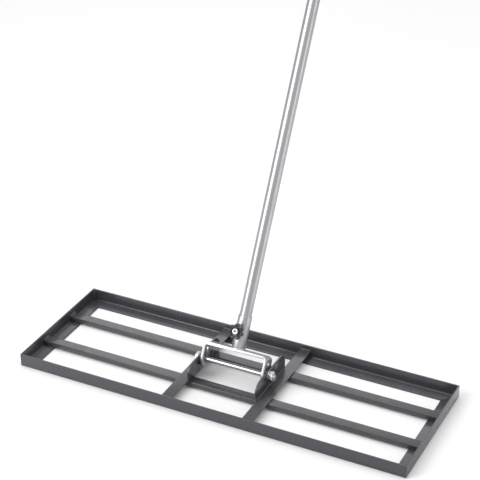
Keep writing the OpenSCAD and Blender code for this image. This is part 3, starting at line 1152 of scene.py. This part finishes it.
@dataclass
class YokeAssembly:
    """The bent strap with its socket, the socket's weld and the clamp nut."""

    bench: Workbench
    bridge_top: float = 33.0 * MM
    socket_r: float = 12.7 * MM
    bead_r: float = 1.3 * MM
    bead_height: float = 2.6 * MM
    bead_ripples: int = 30
    bead_ripple_depth: float = 0.09
    bead_fullness: float = 0.92
    crest_power: float = 0.6

    def socket_bead(self, pole: Place) -> MeshData:
        """Lays the ring of weld round the socket's foot.

        Args:
            pole: The pole's own frame.

        Returns:
            Vertices and faces.
        """
        count = self.bead_ripples * 5
        corner = [(0.0, 0.0), (1.0, 0.0)]
        corner += [(math.cos(t) * self.bead_fullness, math.sin(t) * self.bead_fullness)
                   for t in (0.35, 0.8, 1.2)]
        corner.append((0.0, 1.0))
        rings = []
        for k in range(count):
            a = 2 * math.pi * k / count
            crest = abs(math.sin(self.bead_ripples * a / 2)) ** self.crest_power
            swell = 1 - self.bead_ripple_depth * (1 - crest)
            out = Vector((math.cos(a), math.sin(a)))
            ring = []
            for across, rise in corner:
                r = self.socket_r + across * self.bead_r * swell
                height = self.bridge_top + rise * self.bead_height * swell
                ring.append(pole.at(out.x * r, out.y * r, height))
            rings.append(ring)
        return loft(rings, loop=True)

    def build(self) -> None:
        """Makes the strap, the socket, its weld and the clamp nut."""
        shop = self.bench.shop
        self.bench.eased("yoke", shop.zinc, YOKE, width=0.0007)
        self.bench.eased("handle_socket", shop.tube, YOKE, width=0.0002)
        self.bench.eased("clamp_nut", shop.fastener, YOKE, width=0.0005)
        self.bench.piece("socket_foot_bead", self.socket_bead(pole_place()), shop.zinc, YOKE,
                         ["socket_weld"])


@dataclass
class StarKnobClamp:
    """The star knob with its steel insert, the clamp screw and the pressure pad."""

    bench: Workbench
    height: float = 66.0 * MM
    lobes: int = 7
    outer_r: float = 15.0 * MM
    valley_r: float = 11.6 * MM
    back: float = 22.2 * MM
    thickness: float = 11.0 * MM
    hub_r: float = 8.0 * MM
    hub_back: float = 20.4 * MM
    insert_r: float = 5.5 * MM
    insert_front: float = 33.8 * MM
    socket_r: float = 2.9 * MM
    socket_depth: float = 3.0 * MM
    screw: ThreadForm = field(default_factory=lambda: ThreadForm(4.0 * MM, 1.25 * MM, 0.65 * MM))
    screw_start: float = 12.9 * MM
    screw_end: float = 27.0 * MM
    segments: int = 168
    edge_round: float = 2.6 * MM
    lobe_power: float = 0.75
    insert_chamfer: float = 0.6 * MM
    recess_chamfer: float = 0.35 * MM
    drill_depth: float = 3.6 * MM
    point_r: float = 3.0 * MM

    def lobe_radius(self, angle: float) -> float:
        """Gives the knob's outline radius at an angle: broad lobes and tight valleys."""
        wave = (1 + math.cos(self.lobes * (angle - math.pi / 2))) / 2
        return self.valley_r + (self.outer_r - self.valley_r) * wave ** self.lobe_power

    def knob(self, place: Place) -> MeshData:
        """Makes the knob: rounded lobes, a dished face and a hub at the back.

        Args:
            place: A place on the pole's axis that faces forward.

        Returns:
            Vertices and faces.
        """
        front = self.back + self.thickness
        soft = self.edge_round
        rows: list[tuple[float, float, float]] = [
            (self.screw.major_r, self.hub_back, 0.0), (self.hub_r - 0.5 * MM, self.hub_back, 0.0),
            (self.hub_r, self.hub_back + 0.5 * MM, 0.0),
            (self.hub_r + 0.2 * MM, self.back + 0.1 * MM, 0.1),
            (self.valley_r - 2.2 * MM, self.back + 0.2 * MM, 0.5)]
        for r, z in arc((-soft, self.back + soft), soft, -90, 0, 6):
            rows.append((r, z, 1.0))
        rows.append((0.0, self.back + self.thickness * 0.5, 1.0))
        for r, z in arc((-soft, front - soft), soft, 0, 90, 7):
            rows.append((r, z, 1.0))
        rows += [(9.4 * MM, front - 0.5 * MM, 0.35), (8.2 * MM, front - 1.6 * MM, 0.08),
                 (7.2 * MM, front - 1.9 * MM, 0.0), (self.insert_r + 0.9 * MM, front - 1.5 * MM, 0.0),
                 (self.insert_r + 0.5 * MM, front - 0.2 * MM, 0.0),
                 (self.insert_r, front - 0.1 * MM, 0.0), (self.insert_r, self.back + 1.5 * MM, 0.0),
                 (self.screw.major_r, self.back + 1.5 * MM, 0.0)]

        def outline(r: float, share: float) -> Callable[[float], float]:
            """Gives a row's outline.

            Args:
                r: Its radius, or for a full share its offset from the lobes.
                share: How far it follows the lobes: 0 is round, 1 is fully lobed.

            Returns:
                The outline.
            """
            if share == 0.0:
                return circle(r)
            if share == 1.0:
                return lambda a: self.lobe_radius(a) + r
            return lambda a: r + share * (self.lobe_radius(a) - soft - r)

        return row_loft(place, [(outline(r, share), z) for r, z, share in rows], self.segments)

    def insert(self, place: Place) -> list[MeshData]:
        """Makes the steel insert with a hexagon recess in its chamfered face.

        Args:
            place: A place on the pole's axis that faces forward.

        Returns:
            The insert's solid.
        """
        front = self.insert_front
        floor = front - self.socket_depth

        def hexagon(angle: float) -> float:
            """Gives the recess's radius at an angle."""
            apothem = self.socket_r * math.cos(SIXTH_TURN / 2)
            return apothem / math.cos((angle % SIXTH_TURN) - SIXTH_TURN / 2)

        bore = circle(self.screw.major_r + 0.02 * MM)
        wall = circle(self.insert_r - 0.03 * MM)
        seat = self.back + 1.55 * MM
        drilled = floor - self.drill_depth
        return [row_loft(place, [
            (bore, seat), (wall, seat), (wall, front - self.insert_chamfer),
            (circle(self.insert_r - self.insert_chamfer), front),
            (lambda a: hexagon(a) + self.recess_chamfer, front), (hexagon, front - self.recess_chamfer),
            (hexagon, floor), (circle(0.2 * MM), floor - 0.8 * MM),
            (circle(0.1 * MM), drilled), (bore, drilled)])]

    def threaded_screw(self, place: Place) -> MeshData:
        """Makes the clamp screw with its thread and a turned point.

        Args:
            place: A place on the pole's axis that faces forward.

        Returns:
            Vertices and faces.
        """
        rings = round((self.screw_end - self.screw_start) / self.screw.pitch * 10)

        def cut(angle: float, z: float) -> float:
            """Gives the thread's radius, turned down at the point."""
            return min(self.screw.radius(angle, z), self.point_r + (z - self.screw_start))

        return radial_loft(place, steps(self.screw_start, self.screw_end, rings), cut, COARSE_TURN)

    def build(self) -> None:
        """Makes the knob, the insert and the screw, and dresses the pad."""
        place = front_place(pole_place(), self.height)
        shop = self.bench.shop
        self.bench.piece("lobed_star_knob", self.knob(place), shop.knob, KNOB, ["star_knob"])
        self.bench.piece("recessed_knob_insert", self.insert(place), shop.fastener, KNOB,
                         ["knob_insert"])
        self.bench.piece("threaded_clamp_screw", self.threaded_screw(place), shop.spring, KNOB,
                         ["clamp_screw"])
        shop.dress("clamp_pad", shop.brass)


# ---------------------------------------------------------- pole and grip


@dataclass
class PoleAssembly:
    """The three tubes, their spring buttons and the hand grip."""

    bench: Workbench
    tubes: tuple[str, ...] = ("lower_tube", "middle_tube", "upper_tube")
    pole_start: float = 33.5 * MM
    section_length: float = 650.0 * MM
    section_pitch: float = 650.3 * MM
    spigot_length: float = 38.0 * MM
    clip_rear: float = 8.1 * MM
    clip_keep: float = 0.80
    button_r: float = 3.0 * MM
    button_base: float = 6.2 * MM
    flange_top: float = 7.5 * MM
    flange_r: float = 4.1 * MM
    button_face: float = 12.3 * MM
    pole_r: float = 11.1 * MM
    grip_length: float = 112.0 * MM
    grip_r: float = 14.0 * MM
    lip_r: float = 15.0 * MM
    waist_r: float = 12.8 * MM
    cap: float = 3.0 * MM
    rib_count: int = 13
    rib_height: float = 0.8 * MM
    flute_count: int = 12
    flute_depth: float = 0.45 * MM
    dome: float = 1.5 * MM
    lip_height: float = 5 * MM
    waist_foot: float = 14 * MM
    waist_gap: float = 20 * MM
    flare: float = 6 * MM
    belly: float = 0.5 * MM
    cap_round: float = 6 * MM

    def button(self, pole: Place, start: float) -> MeshData:
        """Makes one domed spring button with its flange.

        Args:
            pole: The pole's own frame.
            start: Height of the foot of the section that carries it.

        Returns:
            Vertices and faces.
        """
        height = start + self.section_length + self.spigot_length / 2
        place = front_place(pole, height)
        dome = self.dome
        profile = [(0, self.button_base), (self.flange_r - 0.2 * MM, self.button_base),
                   (self.flange_r, self.button_base + 0.2 * MM), (self.flange_r, self.flange_top),
                   (self.button_r, self.flange_top)]
        profile += arc((self.button_r - dome, self.button_face - dome), dome, 0, 90, 8)
        profile.append((0, self.button_face))
        return revolve(profile, place, COARSE_TURN)

    def clip(self, node: str) -> None:
        """Makes one clip spring as an eased copy with a mesh of its own.

        Args:
            node: The node that it stands for.
        """
        made = self.bench.eased(node, self.bench.shop.spring, POLE, width=0.0001)
        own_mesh(made)

    def grip(self, pole: Place) -> MeshData:
        """Makes the grip: a flared lip, a ribbed and fluted waist and a domed cap.

        Args:
            pole: The pole's own frame.

        Returns:
            Vertices and faces.
        """
        pole_end = self.pole_start + 2 * self.section_pitch + self.section_length + self.spigot_length
        foot = pole_end - self.grip_length + self.cap
        place = pole.moved(0, 0, foot)
        length = self.grip_length
        waist_start, waist_end = self.waist_foot, length - self.waist_gap

        def outer(z: float) -> float:
            """Gives the grip's radius, ribs included.

            Args:
                z: Height above the grip's foot.

            Returns:
                The radius there.
            """
            if z < self.lip_height:
                return self.lip_r if z > 1 * MM else self.lip_r - (1 * MM - z) * 0.6
            if z < waist_start:
                t = (z - self.lip_height) / (waist_start - self.lip_height)
                return self.lip_r + (self.waist_r - self.lip_r) * smooth(t)
            if z < waist_end:
                t = (z - waist_start) / (waist_end - waist_start)
                belly = self.belly * math.sin(math.pi * t)
                rib = max(0.0, math.cos(2 * math.pi * self.rib_count * t + math.pi)) ** 0.7
                return self.waist_r + belly + self.rib_height * rib * 0.9
            t = min(1.0, (z - waist_end) / self.flare)
            return self.waist_r + (self.grip_r - self.waist_r) * smooth(t)

        def flute(angle: float, z: float) -> float:
            """Gives how deep the long flutes cut.

            Args:
                angle: Angle round the grip.
                z: Height above the grip's foot.

            Returns:
                The depth there.
            """
            if not waist_start < z < waist_end:
                return 0.0
            fade = min(1.0, min(z - waist_start, waist_end - z) / (5 * MM))
            return self.flute_depth * fade * (0.5 + 0.5 * math.cos(self.flute_count * angle)) ** 3

        round_r = self.cap_round
        heights = [0.0, 0.5 * MM, 1.0 * MM, 4.0 * MM] + steps(self.lip_height, waist_start, 8)[1:]
        heights += steps(waist_start, waist_end, self.rib_count * 8)[1:]
        heights += steps(waist_end, length - round_r, 8)[1:]
        rows = [(lambda a, z=z: outer(z) - flute(a, z), z) for z in heights]
        for r, z in arc((self.grip_r - round_r, length - round_r), round_r, 8, 90, 10):
            rows.append((circle(r), z))
        bore, pin = circle(self.pole_r + 0.02 * MM), circle(0.02 * MM)
        plug = length - self.cap + 0.01 * MM
        rows += [(circle(2.0 * MM), length - 0.2 * MM), (pin, length - 0.3 * MM), (pin, plug),
                 (bore, plug), (bore, 0.0)]
        return row_loft(place, rows)

    def build(self) -> None:
        """Dresses the tubes and clips and makes the buttons and the grip."""
        shop = self.bench.shop
        pole = pole_place()
        for node in self.tubes:
            shop.dress(node, shop.tube)
        starts = {"lower": self.pole_start, "upper": self.pole_start + self.section_pitch}
        for side, start in starts.items():
            self.clip(f"{side}_clip_spring")
        for side, start in starts.items():
            self.bench.piece(f"domed_{side}_button", self.button(pole, start), shop.spring,
                             f"{side}_button", [f"{side}_button"])
        self.bench.piece("ribbed_hand_grip", self.grip(pole), shop.grip, POLE, ["hand_grip"])


# ------------------------------------------------------------------ stage


@dataclass(frozen=True)
class Softbox:
    """One soft light of the studio."""

    name: str
    place: Rgb
    target: Rgb
    size: Point
    watts: float


@dataclass
class Studio:
    """A pale floor, soft lights and the camera."""

    floor_half: float = 30.0
    floor_colour: Rgb = (0.90, 0.90, 0.905)
    sky: Rgb = (1.0, 1.0, 1.0)
    sky_strength: float = 0.6
    floor_mottle: float = 0.985
    camera_place: Rgb = (1.0604, -2.1199, 1.6348)
    camera_yaw: float = math.radians(26.41)
    camera_pitch: float = math.radians(29.46)
    camera_roll: float = math.radians(-0.125)
    lens: float = 117.8
    softboxes: tuple[Softbox, ...] = (
        Softbox("key_softbox", (-1.45, -1.95, 2.0), (0.0, 0.1, 0.3), (1.3, 2.6), 56.0),
        Softbox("overhead_softbox", (0.7, 0.4, 3.8), (0.2, 0.2, 0.0), (3.2, 3.2), 52.0),
        Softbox("rear_softbox", (-1.6, 3.3, 2.2), (0.0, 0.0, 0.0), (3.6, 2.4), 24.0),
        Softbox("right_softbox", (3.0, 0.1, 0.9), (0.0, 0.2, 0.6), (0.6, 2.2), 10.0))

    def floor(self) -> None:
        """Lays the floor with a faint mottled finish."""
        half = self.floor_half
        mesh = bpy.data.meshes.new("studio_floor")
        mesh.from_pydata([(-half, -half, 0), (half, -half, 0), (half, half, 0), (-half, half, 0)], [],
                         [(0, 1, 2, 3)])
        board = bpy.data.objects.new("studio_floor", mesh)
        bpy.context.scene.collection.objects.link(board)
        finish = Finish("pale_floor", "", self.floor_colour, 0.9)
        material, graph, shader = finish.start()
        place = graph.add("ShaderNodeTexCoord").outputs["Object"]
        mottle = graph.noise(place, 3.0, 3.0)
        shade = tuple(c * self.floor_mottle for c in self.floor_colour)
        mixed = graph.mix(mottle, rgba(self.floor_colour), rgba(shade))
        graph.tree.links.new(mixed, shader.inputs["Base Color"])
        shader.inputs["Specular IOR Level"].default_value = 0.1
        mesh.materials.append(material)

    def lights(self) -> None:
        """Sets the sky and hangs the softboxes."""
        world = bpy.data.worlds.new("studio")
        world.use_nodes = True
        background = world.node_tree.nodes["Background"]
        background.inputs["Color"].default_value = rgba(self.sky)
        background.inputs["Strength"].default_value = self.sky_strength
        bpy.context.scene.world = world
        for box in self.softboxes:
            lamp = bpy.data.lights.new(box.name, "AREA")
            lamp.shape = "RECTANGLE"
            lamp.size, lamp.size_y = box.size
            lamp.energy = box.watts
            holder = bpy.data.objects.new(box.name, lamp)
            holder.location = box.place
            aim = Vector(box.target) - Vector(box.place)
            holder.rotation_euler = aim.to_track_quat("-Z", "Y").to_euler()
            bpy.context.scene.collection.objects.link(holder)

    def camera(self) -> None:
        """Sets up the camera: turned by yaw, pitched down and rolled a little."""
        lens = bpy.data.cameras.new("camera")
        lens.lens = self.lens
        lens.sensor_width = 36.0
        lens.clip_end = 100.0
        holder = bpy.data.objects.new("camera", lens)
        tip = Matrix.Rotation(math.pi / 2 - self.camera_pitch, 4, "X")
        turn = Matrix.Rotation(self.camera_yaw, 4, "Z") @ tip
        roll = Matrix.Rotation(self.camera_roll, 4, "Z")
        holder.matrix_world = Matrix.Translation(self.camera_place) @ turn @ roll
        bpy.context.scene.collection.objects.link(holder)
        bpy.context.scene.camera = holder

    def build(self) -> None:
        """Sets up the whole studio."""
        self.floor()
        self.lights()
        self.camera()
        bpy.context.scene.view_settings.view_transform = "Standard"


def main() -> None:
    """Builds the studio, the effects and every sub-assembly in order."""
    Studio().build()
    for make in (build_grain, build_edges, build_streaks, build_dust):
        make()
    bench = Workbench(Paintshop())
    LadderFrame(bench).build()
    WeldSeams(bench).build()
    PivotHardware(bench).build()
    YokeAssembly(bench).build()
    StarKnobClamp(bench).build()
    PoleAssembly(bench).build()


if __name__ == "__main__":
    main()
